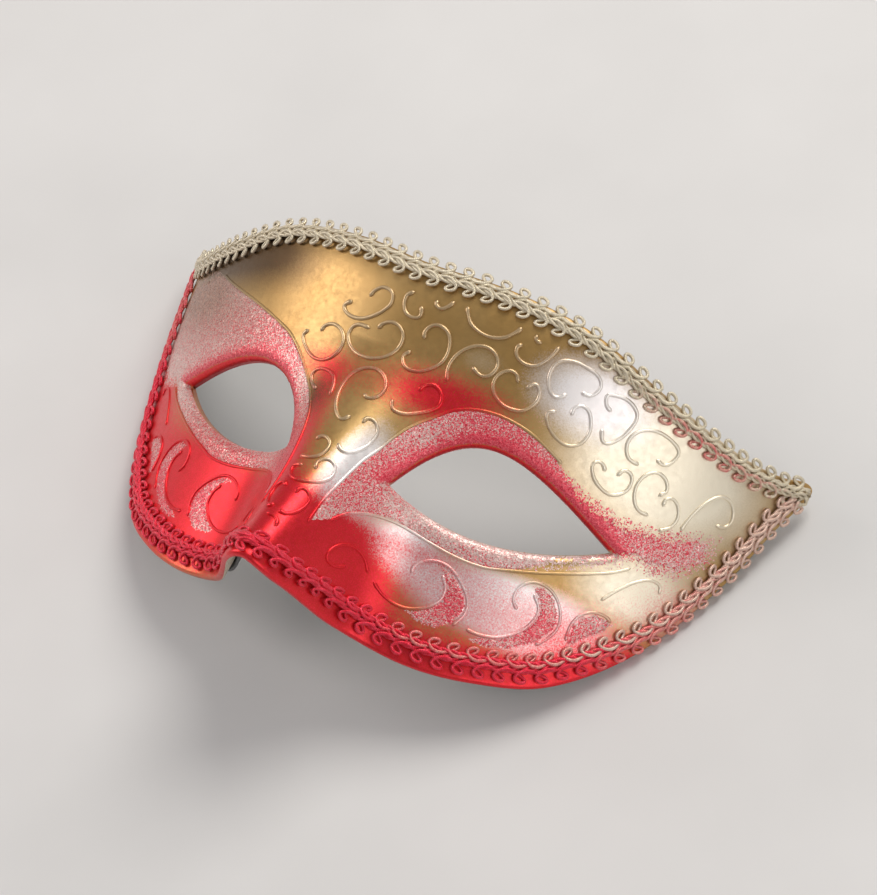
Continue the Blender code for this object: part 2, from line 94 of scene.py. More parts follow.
# Raised scrolls of the forehead and the nose, each a smooth line through these points.
RELIEF_SCROLLS = (
    (
        (-10, 26.5), (-9.5, 28), (-7.5, 29.5), (-4.8, 28.8), (-4.5, 26), (-8.5, 22), (-12.5, 21),
        (-15.5, 22.5), (-14, 24.3),
    ),
    ((0, 31), (-1.4, 29.4), (-0.5, 26.5), (1.5, 25.5), (3.5, 26.3), (3, 28.5)),
    ((6, 31), (6, 30), (7.5, 29.5), (9, 30.8), (9.6, 32)),
    ((12.8, 32), (13.5, 30.7), (15.5, 28.5), (19.5, 27.5), (23, 28.5), (25.3, 31), (25.7, 32)),
    ((31, 30.3), (29.7, 30.5), (29.2, 31.7)),
    ((34.7, 31), (34, 28.5), (32, 25.6), (29.5, 24.8), (27.2, 25.7), (26.5, 27.5), (27.3, 28.6)),
    (
        (42.5, 23.5), (44.7, 23.6), (46, 26), (44.8, 28), (42.2, 28.9), (38.5, 29.1), (35.8, 27.8),
        (35, 25), (36, 21.8), (38, 20.5), (40, 22),
    ),
    (
        (29.5, 20.5), (28.5, 22), (26.7, 22.2), (24.9, 20.5), (24.6, 18.3), (26, 16), (29, 14.6),
        (32.6, 15.2), (34.6, 18), (34.4, 20.4), (33, 21.5), (31.5, 20),
    ),
    (
        (6.5, 22), (6, 23.5), (7, 25.3), (9, 25.9), (11.4, 24.8), (12.6, 22), (12.4, 19),
        (10.5, 16.4), (8, 14.8), (5.2, 14.8), (3.5, 16.8), (4.5, 18.5),
    ),
    (
        (15, 15.2), (14, 18), (14.7, 21.2), (17, 24), (20, 25.2), (22.6, 24.5), (24, 22.4),
        (23.4, 20), (21.5, 19), (19, 20),
    ),
    (
        (-5, 20.5), (-4.4, 21.8), (-2.5, 22.9), (-0.3, 22.7), (1.4, 21.2), (1.7, 19), (0.6, 16.2),
        (-2, 14.2), (-5.5, 13.6), (-9, 14.5), (-11.4, 16.8), (-11.4, 18.7), (-10, 19.9), (-7, 20),
    ),
    (
        (-19, 15.5), (-18.5, 17), (-16.5, 18), (-14, 17.5), (-12.1, 15.7), (-11.7, 13.3),
        (-12.8, 11), (-15, 9.7), (-18, 9.6), (-21, 11), (-23.3, 13.3), (-22.5, 15),
    ),
    (
        (0.5, 6), (2, 5.5), (3.5, 6.4), (4.1, 8.1), (3.4, 10.1), (1.5, 11.6), (-1, 12), (-3.5, 11),
        (-5.1, 9), (-5.5, 6.2), (-4.8, 3), (-3, 0.5), (-0.5, -0.9), (1, 0.5),
    ),
    (
        (10.5, 11), (11, 12.4), (12.5, 13.3), (14.2, 12.9), (15.6, 11.4), (15.8, 9.6), (14.6, 7.9),
        (12.2, 6.2), (10, 5.1), (7.8, 5.2), (6.5, 7.2),
    ),
    (
        (-12.5, 3.2), (-14.6, 4.2), (-15.8, 6), (-14.8, 7.5), (-12.5, 8), (-9.8, 7.5), (-8, 5.6),
        (-7.2, 3),
    ),
    (
        (4, 0), (4.3, 1.2), (5.4, 1.4), (6.6, 0.8), (7.6, -0.8), (7.6, -2.9), (6.9, -5),
        (5.6, -6.6), (3.8, -7.2), (2.2, -6.1),
    ),
    ((-3, -7), (-2.2, -6), (-0.8, -5.8), (0.6, -6.6), (1, -8.2), (0.3, -10), (-1.6, -11.1), (-4, -11.5)),
    (
        (1.5, -13), (0.9, -11.6), (1.6, -10.4), (3, -10.1), (4.5, -11.1), (5, -13), (4.2, -14.7),
        (2.5, -15.8), (0.2, -16.4), (-2, -16.4), (-3.7, -15.4), (-3.8, -14), (-1.8, -13.1),
    ),
    (
        (1, -19.2), (1.3, -18), (2.6, -17.9), (4, -19.2), (4.2, -21.1), (3.5, -23), (2, -24.1),
        (0.4, -23.8),
    ),
    ((-1.6, -25.4), (0.4, -25.3), (1.8, -26.2), (2, -27.4)),
    ((-2, -18.6), (-3.4, -18), (-4.6, -19.2), (-4.8, -21.2), (-4, -23), (-2.6, -23.8), (-1.4, -23)),
    (
        (50, 22), (48.5, 23), (48, 25), (49.5, 25.6), (52, 25.7), (54.2, 24.7), (55.4, 23),
        (55, 20), (53.5, 17), (51, 15.2), (49.4, 17.8),
    ),
    (
        (42.5, 18), (42.5, 19.7), (43.7, 20.8), (45.4, 20.4), (46.7, 18.5), (47.3, 15.8),
        (46.4, 13), (44, 11.7), (41, 12.5), (38.6, 14.5), (37.7, 16.6), (39.3, 17.7),
    ),
    (
        (62.5, 16), (64.5, 15.5), (66, 17), (66.4, 19.3), (64.4, 20.9), (61, 21.7), (58, 21),
        (56, 19), (55.6, 16.4), (57, 14), (59.5, 13.5),
    ),
    (
        (53.5, 9.5), (52, 10.9), (50.6, 10.3), (51, 8.3), (53, 6.2), (56, 5.2), (58.4, 6.4),
        (59.4, 8.6), (58.8, 10.8), (57.1, 11.2), (56, 9.5),
    ),
    (
        (65.8, 8.8), (67, 10.5), (66.1, 12.5), (64, 13.4), (61.9, 12.3), (60.7, 9.7), (61, 6.8),
        (62.7, 4.4), (65.3, 4),
    ),
    ((67.5, 7), (67.6, 8.7), (69, 9.3), (70.7, 8), (71.4, 5.6), (70.5, 3.2), (68.5, 1.7)),
    (
        (73, 3.5), (73.7, 6.2), (75, 9.4), (77, 12.4), (79, 13.8), (81, 13.5), (82.6, 11.6),
        (83, 9.4), (82, 7.8), (80, 7.4),
    ),
)

# Raised lines of the right cheek, which the left cheek mirrors.
CHEEK_SWIRLS = (
    (
        (13.4, -30), (12.2, -30.9), (10.9, -30.2), (10.6, -28.2), (11.4, -26.2), (13, -25.6),
        (15, -27), (16.6, -29.8),
    ),
    (
        (18, -31.2), (20.2, -33), (22.7, -33.9), (25.7, -33.9), (29, -32.4), (31.4, -29.6),
        (31.4, -26.8), (29.8, -24.4),
    ),
    (
        (23.5, -26.5), (23.7, -24.5), (25.6, -22.7), (28.3, -22), (31.2, -22.6), (34.5, -24.9),
        (36.9, -27.8), (37.3, -30.6), (36, -33.8),
    ),
    (
        (47, -25.5), (45.5, -23.7), (45.5, -21), (47.3, -19), (50, -18.4), (53, -19.5),
        (55.5, -22.4), (56.4, -25.8), (55.5, -28.6), (53.5, -31.2),
    ),
    ((49, -20.9), (51, -23.4), (51.2, -26), (49.5, -29.5), (46, -32.4), (42, -33.5), (39, -33.4)),
    ((59, -28), (58.7, -24.6), (59.8, -21.6), (62.3, -20), (65, -20), (66.4, -20.8)),
    ((62.5, -17), (65, -13.7), (68, -10.6), (71, -9), (73.2, -9.4), (73.8, -11.2)),
)

# Raised borders of the glitter round the eyes; the left lower one mirrors the right.
EYE_BORDERS = {
    "right_upper": (
        (6, -24), (6, -19), (6.6, -14), (8, -7.5), (9.6, -3.5), (10.6, -0.5), (12.4, 3), (15.4, 6.4),
        (18.8, 9.6), (22.5, 11.4), (27.3, 12.3), (32, 12.1), (36.5, 11.1), (40.5, 9.5), (44.5, 7.6),
    ),
    "left_upper": (
        (-6.4, -24), (-6.4, -19), (-7, -14), (-8.4, -8), (-9.8, -4), (-11.4, -1), (-14.5, 2.8),
        (-17.5, 5.6), (-22, 9.4), (-27, 12.6), (-32, 14.3), (-38, 15.8), (-44.5, 17.1), (-51, 18.1),
        (-58, 19.2), (-62.5, 20.1),
    ),
    "right_lower": (
        (8.5, -22), (10.3, -19.2), (13.4, -17.8), (17.5, -17.6), (24, -18.8), (30.5, -19.7),
        (37, -19.6), (42, -18.3), (47.5, -16.6), (53, -14.6), (58, -12.6), (62.5, -10.5), (66, -8.2),
    ),
}
EYE_BORDERS["left_lower"] = tuple((-u, v) for u, v in EYE_BORDERS["right_lower"])


# Filled parts of the cheek swirls, between one raised line and the next.
GLITTER_CRESCENTS = (
    (
        (26, -22.8), (28.3, -22), (31.2, -22.6), (34.5, -24.9), (36.9, -27.8), (37.3, -30.6),
        (36, -33.8), (32.5, -36.2), (28, -36), (25, -34.4), (29, -32.4), (31.4, -29.6), (31.4, -26.8),
        (29.8, -24.4),
    ),
    (
        (47.5, -19.2), (50, -18.4), (53, -19.5), (55.5, -22.4), (56.4, -25.8), (55.5, -28.6),
        (53.5, -31.2), (49, -34.6), (44, -36), (39, -35.6), (42, -33.5), (46, -32.4), (49.5, -29.5),
        (51.2, -26), (51, -23.4), (49, -20.9),
    ),
    (
        (58.8, -28), (58.7, -24.6), (59.8, -21.6), (62.3, -20), (65, -20), (67.5, -21), (66, -23.5),
        (63, -26), (60.5, -29.5),
    ),
)
# Where the glitter round each eye runs out past the borders' outer ends, in a soft edge.
SOFT_END_RIGHT = ((52, 4.6), (60, 2.4), (68, 2.8), (77, 5.5), (84, 6.5), (83, -2), (77, -8), (70, -9.2))
SOFT_END_LEFT = (
    (-68, 21.5), (-76, 20), (-86, 18.5), (-91, 12), (-88, 0), (-82, -7), (-75, -10.5), (-70, -9.4),
)
SOFT_FROM = (43.0, 62.0)  # the soft edge starts this far out, on the right and on the left

# Sprayed paint and painted light and shade: centre u and v, half widths in u and v, and strength of each
# soft spot.
# Painted red light from below: red on the lower parts and on surfaces that face down, such as the brow over
# each eye.
RED_LIGHT_SPOTS = (
    (15.0, 11.0, 14.0, 6.0, 1.0), (26.0, 15.0, 9.0, 3.0, 0.2), (-14.0, 9.0, 9.0, 4.5, 0.6),
    (-5.0, -27.0, 10.0, 11.0, 1.2), (-8.0, -8.0, 5.0, 15.0, 0.75), (-40.0, -30.0, 36.0, 15.0, 1.6),
    (-80.0, -12.0, 18.0, 15.0, 1.1), (12.0, -35.0, 9.0, 8.0, 1.2), (11.0, -24.0, 5.0, 5.0, 0.4),
    (40.0, -43.0, 40.0, 6.0, 1.1), (40.0, -29.0, 34.0, 10.0, 0.46), (64.0, -27.0, 12.0, 8.0, 0.4),
    (60.0, -41.0, 15.0, 5.0, 0.9), (66.0, -35.0, 9.0, 3.5, 0.9), (75.0, -28.5, 6.0, 3.5, 0.7),
    (26.0, -21.5, 12.0, 2.5, 0.3), (80.0, -15.0, 9.0, 8.0, 0.5), (3.0, -24.0, 8.0, 7.0, 0.5),
)
# Pearly paint on the cheeks, and painted highlight on the nose's near flank and the near forehead.
PEARL_AND_HIGHLIGHT_SPOTS = (
    (7.5, -12.0, 5.5, 14.0, 1.0), (46.0, 23.0, 16.0, 10.0, 0.9), (34.0, -28.0, 14.0, 6.0, 0.85),
    (57.0, -29.0, 15.0, 9.0, 1.0), (20.0, -14.0, 8.0, 8.0, 0.4), (20.0, -22.5, 7.0, 4.5, 0.9),
    (44.0, -22.0, 14.0, 4.0, 0.5),
)
CHAMPAGNE_SPRAY = (
    (66.0, 14.0, 26.0, 17.0, 1.0), (20.0, 22.0, 9.0, 6.0, 0.35), (70.0, -14.0, 16.0, 9.0, 0.8),
    (28.0, -24.0, 17.0, 6.0, 1.0),
)
# Painted shade: darker on the far forehead and temple and on the nose's far flank.
SHADE_SPOTS = (
    (-74.0, 26.0, 32.0, 12.0, 1.0), (-38.0, 30.0, 18.0, 9.0, 0.5), (-11.0, 2.0, 6.0, 13.0, 0.75),
)
# Painted red light on the glitter.
GLITTER_RED_LIGHT_SPOTS = (
    (28.0, 11.0, 22.0, 8.0, 0.55), (9.0, -8.0, 8.0, 15.0, 0.5), (52.0, 1.0, 18.0, 7.0, 0.5),
    (72.0, -1.0, 14.0, 9.0, 0.35), (-28.0, 12.0, 22.0, 7.0, 0.4), (-62.0, 7.0, 26.0, 12.0, 0.3),
    (-9.0, -10.0, 6.0, 15.0, 0.75), (-40.0, -17.0, 36.0, 6.0, 0.45), (40.0, -19.0, 30.0, 3.0, 0.15),
    (33.0, -30.0, 14.0, 8.0, 0.6), (56.0, -28.0, 16.0, 9.0, 0.6), (-45.0, -30.0, 34.0, 10.0, 0.75),
)
# Painted shade on the far side's glitter and the nose's far flank.
GLITTER_SHADE_SPOTS = (
    (-78.0, 16.0, 32.0, 12.0, 1.3), (-45.0, -16.0, 30.0, 6.0, 0.3), (-12.0, -2.0, 5.0, 12.0, 0.3),
)
LID_RED_LIGHT = (2.8, 0.95)  # painted red light: the upper lids, which face down, are redder within this width, by this much

PATTERN_BOX = ((-100, -47), (100, 41))  # holds the whole pattern
GLITTER_BOX = ((-92, -40), (92, 23))
LINE_SPACING = 0.8
PAINT_SPACING = 0.85
GLITTER_SPACING = 0.42
GLITTER_JITTER = 0.14
GLITTER_GRAIN = 0.09
GLITTER_SPREAD = 1.9  # how far the grains of an open end scatter
RIM_BAND = 0.9  # smooth paint along the upper lid, inside the glitter
LID_OVER = 0.3  # the upper lid starts this far above the line between an eye's corners
EDGE_ROWS = (0.2, 0.5, 0.9, 1.4, 2.0, 2.7)
RIM_ROLL = (0.9, 0.55)  # the outer edge rolls in over this width, by this much
BACK_RIM_ROLL = (0.6, 0.3)
BACK_EYE_ROLL = (1.4, 1.19)

BEAD_HALF_WIDTH = 0.44
BEAD_HEIGHT = 0.42
BEAD_SIDES = 12
BORDER_HALF_WIDTH = 0.36
BORDER_HEIGHT = 0.28
BRAID_PITCH = 4.4
PLAIT_PITCH = 11.0
PLAIT_STRANDS = 5
CURL_OFFSET = 1.75
CURL_ACROSS = 1.08
CURL_ALONG = 2.1
OUTER_SHIFT = 0.5  # the outer curls hang a little over the shell's edge
CURL_LEAN = 0.3
CURL_SWEEP = 0.55  # between its rings, a curl's cord runs up on to the braid's middle
CORD_RADIUS = 0.39
CORD_SIDES = 8
PLAIT_HALF_WIDTH = 1.1
BRAID_LIFT = 0.05
CURL_HEIGHT = 0.62
CURL_WAVE = 0.25
CURL_RISE = 0.75  # how far a curl's cord climbs on to the braid's middle
PLAIT_HEIGHT = 0.9
PLAIT_WAVE = 0.2
PLAIT_RADIUS = 0.95 * CORD_RADIUS
TOP_SHIFT = 0.7  # the upper run hides the shell's edge
STITCH_INSET = 1.2
STITCH_LENGTH = 1.7
STITCH_PITCH = 2.7
STITCH_RADIUS = 0.2
TIP_REACH = (1.6, 1.2)  # from the shell's tip to the end of the upper run
BOTTOM_ENDS = (4.0, 4.0)  # the lower run stops this far short of the upper one
LINING_SPACING = 1.3
LINING_EYE_CLEARANCE = 0.4

FOCAL_LENGTH = 157.7
SENSOR_HEIGHT = 36.0
# The camera in the mask's own directions: across, up the forehead and forward.
CAMERA_RIGHT = (0.84027, 0.36642, -0.39962)
CAMERA_BACK = (0.43057, -0.00307, 0.90255)
CAMERA_TARGET = (19.37, 1.04, 0.0)
CAMERA_DISTANCE = 850.6

# Where each lamp hangs, in metres, with its width, its power in watts and its colour.
LAMPS = {
    "key": ((0.15, 0.75, 0.95), 0.8, 9.0, (1.0, 0.97, 0.92)),
    "side": ((-0.95, -0.2, 0.6), 0.6, 4.0, (1.0, 0.93, 0.90)),
    "front": ((0.95, -0.3, 0.62), 0.8, 2.6, (1.0, 0.97, 0.95)),
}
WORLD_COLOUR = (0.87, 0.87, 0.89, 1.0)
WORLD_STRENGTH = 0.33
FLOOR_REACH = 4.0


def face_height(u, v):
    """How far forward the outer face is, without the wrap round the head."""
    height = -BROW_FALL * np.maximum(v - BROW_V, 0.0) ** 2
    height = height + CHEEK_RISE * np.maximum(CHEEK_V - v, 0.0) ** 2
    centre, wide, tall, rise = SOCKET
    height += rise * np.exp(-(((np.abs(u) - centre) / wide) ** 2) - (v / tall) ** 2)
    down = np.clip((NOSE_ROOT_V - v) / (NOSE_ROOT_V - NOSE_FOOT_V), 0.0, 1.3)
    half_width = NOSE_HALF_WIDTH[0] + (NOSE_HALF_WIDTH[1] - NOSE_HALF_WIDTH[0]) * down
    return height + NOSE_HEIGHT * down**NOSE_SLOPE * np.exp(-((np.abs(u) / half_width) ** NOSE_FLANK))


def outer_face(u, v):
    turn = u / WRAP_RADIUS
    fall = WRAP_DEPTH * (1.0 - np.cos(turn))
    return np.stack([WRAP_RADIUS * np.sin(turn), v, face_height(u, v) - fall], axis=-1)


def unit(vectors):
    return vectors / np.maximum(np.linalg.norm(vectors, axis=-1, keepdims=True), 1e-9)


def outward(flat, step=0.05):
    """The outer face's unit normals at flat points."""
    u, v = flat[:, 0], flat[:, 1]
    across = outer_face(u + step, v) - outer_face(u - step, v)
    up = outer_face(u, v + step) - outer_face(u, v - step)
    return unit(np.cross(across, up))


def wrap(flat, height):
    """Points of the flat pattern bent round the head, in millimetres, in the mask's own directions."""
    return outer_face(flat[:, 0], flat[:, 1]) + outward(flat) * np.reshape(height, (-1, 1))


TILT = np.array(Matrix.Rotation(REST_TILT, 3, "X"))


def find_stand():
    """Where the stand puts the mask, from the place of one tie patch in the record."""
    mounts = {mount["name"]: mount for mount in frame["record"]["mounts"]}
    patch = wrap(np.array([ANCHOR_PLACE]), -ANCHOR_DEPTH - ANCHOR_SIZE[2] / 2.0)[0]
    return np.array(mounts["tie_patch_right"]["pos_m"]) - TILT @ patch * MM


STAND = find_stand()


def to_world(points):
    return points @ TILT.T * MM + STAND


def smooth_line(points, spacing, closed=False):
    """Points at most about spacing apart on a smooth curve through the given ones."""
    knots = np.array(points, float)
    last = len(knots) - 1
    if closed:
        heading = unit(np.roll(knots, -1, axis=0) - np.roll(knots, 1, axis=0))
    else:
        ends = np.vstack([knots[:1], knots, knots[-1:]])
        heading = unit(ends[2:] - ends[:-2])
    line = []
    for index in range(last + 1 if closed else last):
        after = (index + 1) % len(knots)
        start, end = knots[index], knots[after]
        length = np.linalg.norm(end - start)
        t = np.arange(math.ceil(length / spacing))[:, None] / math.ceil(length / spacing)
        one, two = start + heading[index] * length / 3.0, end - heading[after] * length / 3.0
        s = 1.0 - t
        line.append(s**3 * start + 3 * s * s * t * one + 3 * s * t * t * two + t**3 * end)
    if not closed:
        line.append(knots[-1:])
    return np.vstack(line)


def mirrored(points):
    return [(-u, v) for u, v in points]


def both_sides(half):
    return list(half) + mirrored(half[-2:0:-1])


def to_the_right(line, closed=True):
    """Unit directions to the right of a flat line, which is inwards on a clockwise outline."""
    if closed:
        along = np.roll(line, -1, axis=0) - np.roll(line, 1, axis=0)
    else:
        along = np.gradient(line, axis=0)
    along = unit(along)
    return np.stack([along[:, 1], -along[:, 0]], axis=-1)


def distance_to(flat, line, closed=True):
    """How far each flat point is from a line."""
    start = line if closed else line[:-1]
    run = (np.roll(line, -1, axis=0) if closed else line[1:]) - start
    length = np.maximum((run**2).sum(axis=1), 1e-12)
    found = []
    for part in np.array_split(flat, max(1, len(flat) // 3000)):
        off = part[:, None, :] - start
        share = np.clip((off * run).sum(axis=2) / length, 0.0, 1.0)
        found.append(np.linalg.norm(off - share[..., None] * run, axis=2).min(axis=1))
    return np.concatenate(found)


def inside(flat, loop):
    """Which flat points are inside a closed line."""
    crossings = np.zeros(len(flat), int)
    u, v = flat[:, 0], flat[:, 1]
    for (u0, v0), (u1, v1) in zip(loop, np.roll(loop, -1, axis=0)):
        if v0 == v1:
            continue
        spans = (v0 > v) != (v1 > v)
        crossings += spans & (u < (u1 - u0) * (v - v0) / (v1 - v0) + u0)
    return crossings % 2 == 1


def eye_loop(side, margin=0.0, steps=44):
    """An eye hole, wider all round by margin. The right one runs clockwise."""
    t = np.linspace(0.0, 1.0, steps)[:, None]
    s = 1.0 - t
    arcs = []
    for a, b, c, d in (np.array(EYE_UPPER), np.array(EYE_LOWER)):
        arcs.append(s**3 * a + 3 * s * s * t * b + 3 * s * t * t * c + t**3 * d)
    loop = np.vstack([arcs[0], arcs[1][-2:0:-1]])
    loop = loop - to_the_right(loop) * margin
    return loop * (side, 1.0)


def jittered_grid(low, high, spacing, jitter, rng):
    """Points of a triangular grid over a flat rectangle, each moved a little."""
    rows = np.arange(low[1], high[1], spacing * 0.866)
    columns = np.arange(low[0], high[0], spacing)
    u, v = np.meshgrid(columns, rows)
    u = u + (np.arange(len(rows)) % 2)[:, None] * spacing / 2.0
    points = np.stack([u.ravel(), v.ravel()], axis=-1)
    return points + rng.uniform(-jitter, jitter, points.shape)


def triangulated(loops, points, keep):
    """Flat points and triangles over the loops' inside, with the loops as edges. keep picks by middle."""
    edges, start = [], 0
    for loop in loops:
        count = len(loop)
        edges.extend((start + i, start + (i + 1) % count) for i in range(count))
        start += count
    corners = [Vector(p) for p in np.vstack([*loops, points]).tolist()]
    made = delaunay_2d_cdt(corners, edges, [], 0, 1e-5)
    flat = np.array([tuple(p) for p in made[0]])
    triangles = np.array(made[2])
    triangles = triangles[keep(flat[triangles].mean(axis=1))]
    one, two, three = (flat[triangles[:, i]] for i in range(3))
    turn = (two - one)[:, 0] * (three - one)[:, 1] - (two - one)[:, 1] * (three - one)[:, 0]
    triangles[turn < 0] = triangles[turn < 0][:, ::-1]
    triangles = triangles[np.abs(turn) > 1e-7]
    used = np.unique(triangles)
    renumber = np.zeros(len(flat), int)
    renumber[used] = np.arange(len(used))
    return flat[used], renumber[triangles]


def wall_edges(triangles):
    """The directed edges that only one triangle has."""
    edges = np.vstack([triangles[:, (0, 1)], triangles[:, (1, 2)], triangles[:, (2, 0)]])
    keys = np.sort(edges, axis=1)
    _, first, count = np.unique(keys, axis=0, return_index=True, return_counts=True)
    return edges[first[count == 1]]


def sprayed(flat, spots):
    """How much paint or painted light the soft spots put on each flat point, from 0 to 1."""
    amount = np.zeros(len(flat))
    for u, v, wide, tall, strength in spots:
        amount += strength * np.exp(-(((flat[:, 0] - u) / wide) ** 2) - ((flat[:, 1] - v) / tall) ** 2)
    return np.clip(amount, 0.0, 1.0)


def make_piece(name, points, faces, looks, attributes=None, smooth=True, replaces=None):
    """A mesh piece from head-frame millimetres, riding on the mask's one body."""
    mesh = bpy.data.meshes.new(name)
    mesh.from_pydata(to_world(points).tolist(), [], faces.tolist())
    for look in looks:
        mesh.materials.append(look)
    mesh.polygons.foreach_set("use_smooth", np.ones(len(faces), bool) & smooth)
    for key, (domain, values) in (attributes or {}).items():
        layer = mesh.attributes.new(key, "FLOAT", domain)
        layer.data.foreach_set("value", np.asarray(values, np.float32))
    piece = bpy.data.objects.new(name, mesh)
    bpy.context.scene.collection.objects.link(piece)
    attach(piece, "root")
    if replaces:
        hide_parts(replaces)
    return piece


def node(tree, kind, inputs=None, **settings):
    """One shader node with its settings, its constants and its links."""
    made = tree.nodes.new(kind)
    for key, value in settings.items():
        setattr(made, key, value)
    for key, value in (inputs or {}).items():
        if isinstance(value, bpy.types.NodeSocket):
            tree.links.new(value, made.inputs[key])
        else:
            made.inputs[key].default_value = value
    return made


def start_look(name, **constants):
    """A new material: its tree, its Principled shader and its object-space position in millimetres."""
    look = bpy.data.materials.new(name)
    look.use_nodes = True
    tree = look.node_tree
    shader = tree.nodes["Principled BSDF"]
    for key, value in constants.items():
        shader.inputs[key.replace("_", " ")].default_value = value
    place = node(tree, "ShaderNodeTexCoord").outputs["Object"]
    place = node(tree, "ShaderNodeVectorMath", {0: place, 3: 1000.0}, operation="SCALE").outputs[0]
    return look, tree, shader, place


def attribute(tree, name):
    return node(tree, "ShaderNodeAttribute", attribute_name=name).outputs["Fac"]


def mixed(tree, share, one, two):
    """One colour turning into the other."""
    made = node(tree, "ShaderNodeMix", data_type="RGBA")
    for socket, value in ((made.inputs[0], share), (made.inputs[6], one), (made.inputs[7], two)):
        if isinstance(value, bpy.types.NodeSocket):
            tree.links.new(value, socket)
        elif socket.type == "RGBA":
            socket.default_value = (*value, 1.0)
        else:
            socket.default_value = value
    return made.outputs[2]


def scaled(tree, value, low, high, new_low=0.0, new_high=1.0):
    """The value moved from one range to another, and kept inside it."""
    inputs = {"Value": value, "From Min": low, "From Max": high, "To Min": new_low, "To Max": new_high}
    return node(tree, "ShaderNodeMapRange", inputs).outputs["Result"]


def maths(tree, operation, one, two=0.0):
    return node(tree, "ShaderNodeMath", {0: one, 1: two}, operation=operation).outputs[0]


def noise(tree, place, scale, detail=2.0, roughness=0.5):
    inputs = {"Vector": place, "Scale": scale, "Detail": detail, "Roughness": roughness}
    return node(tree, "ShaderNodeTexNoise", inputs).outputs["Fac"]


def speckled(tree, amount, grain, softness, low=0.3, high=0.75):
    """A sprayed edge: the amount broken up by grains of paint."""
    uneven = maths(tree, "MULTIPLY", maths(tree, "SUBTRACT", grain, 0.5), softness)
    return scaled(tree, maths(tree, "ADD", amount, uneven), low, high)


def bumped(tree, shader, height, distance, strength=1.0):
    bump = node(tree, "ShaderNodeBump", {"Height": height, "Distance": distance * MM, "Strength": strength})
    tree.links.new(bump.outputs["Normal"], shader.inputs["Normal"])


# Paints, painted light and shade, thread and felt.
GOLD = (0.47, 0.275, 0.085)
PALE_GOLD = (0.56, 0.37, 0.15)
CHAMPAGNE = (0.95, 0.86, 0.68)
# Pearly paint, also used as painted highlight.
PEARL_AND_HIGHLIGHT = (0.98, 0.93, 0.91)
# Colour of the painted shade.
SHADE_BROWN = (0.12, 0.065, 0.022)
# Colours of the painted red light, deep red and hot pink.
RED = (0.74, 0.016, 0.016)
HOT_PINK = (0.92, 0.03, 0.065)
# Pale gold for painted highlight on the raised beads.
BEAD_HIGHLIGHT = (1.0, 0.93, 0.78)
# Each thread: its pale colour, and its colour under painted red light.
GOLD_THREAD = ((0.90, 0.80, 0.60), (0.86, 0.04, 0.08))
# Thread of the lower run: its pale stands for painted highlight, its red for painted red light.
RED_LIT_THREAD = ((0.90, 0.64, 0.52), (0.84, 0.010, 0.04))
GREY_THREAD = ((0.30, 0.28, 0.27), (0.30, 0.28, 0.27))
LINING_BLACK = (0.018, 0.018, 0.022)
PATCH_BLACK = (0.035, 0.034, 0.04)


def paint_look(name, painted_highlight=0.0):
    """Satin metallic gold spray paint, misted with champagne, pearly paint and painted shade, highlight and
    red light.
    """
    look, tree, shader, place = start_look(
        name, Roughness=0.36, Metallic=0.7, Coat_Weight=0.15, Coat_Roughness=0.25, Coat_IOR=1.45
    )
    grain = noise(tree, place, 2.8, 3.0, 0.8)
    mist = noise(tree, place, 0.05, 2.0)
    colour = mixed(tree, scaled(tree, mist, 0.25, 0.85), GOLD, PALE_GOLD)
    colour = mixed(tree, speckled(tree, attribute(tree, "champagne"), grain, 0.25), colour, CHAMPAGNE)
    # Painted shade over the far side.
    colour = mixed(tree, speckled(tree, attribute(tree, "painted_shade"), grain, 0.3), colour, SHADE_BROWN)
    # Pearly paint on the cheeks and painted highlight on the nose and the near forehead.
    colour = mixed(tree, speckled(tree, attribute(tree, "pearl_and_highlight"), grain, 0.5), colour, PEARL_AND_HIGHLIGHT)
    # Pale gold mixed in as painted highlight on the raised beads.
    if painted_highlight:
        colour = mixed(tree, painted_highlight, colour, BEAD_HIGHLIGHT)
    # Painted red light, speckled at its edges, deep red mixed grain by grain with hot pink.
    red = speckled(tree, attribute(tree, "red"), grain, 1.4, 0.18, 0.85)
    colour = mixed(tree, red, colour, mixed(tree, scaled(tree, grain, 0.4, 0.7), RED, HOT_PINK))
    tree.links.new(colour, shader.inputs["Base Color"])
    rough = scaled(tree, noise(tree, place, 0.8, 4.0, 0.6), 0.3, 0.7, 0.30, 0.44)
    tree.links.new(rough, shader.inputs["Roughness"])
    fine = noise(tree, place, 5.0, 2.0, 0.6)
    bumped(tree, shader, maths(tree, "ADD", fine, noise(tree, place, 0.7, 2.0)), 0.028, 0.6)
    return look


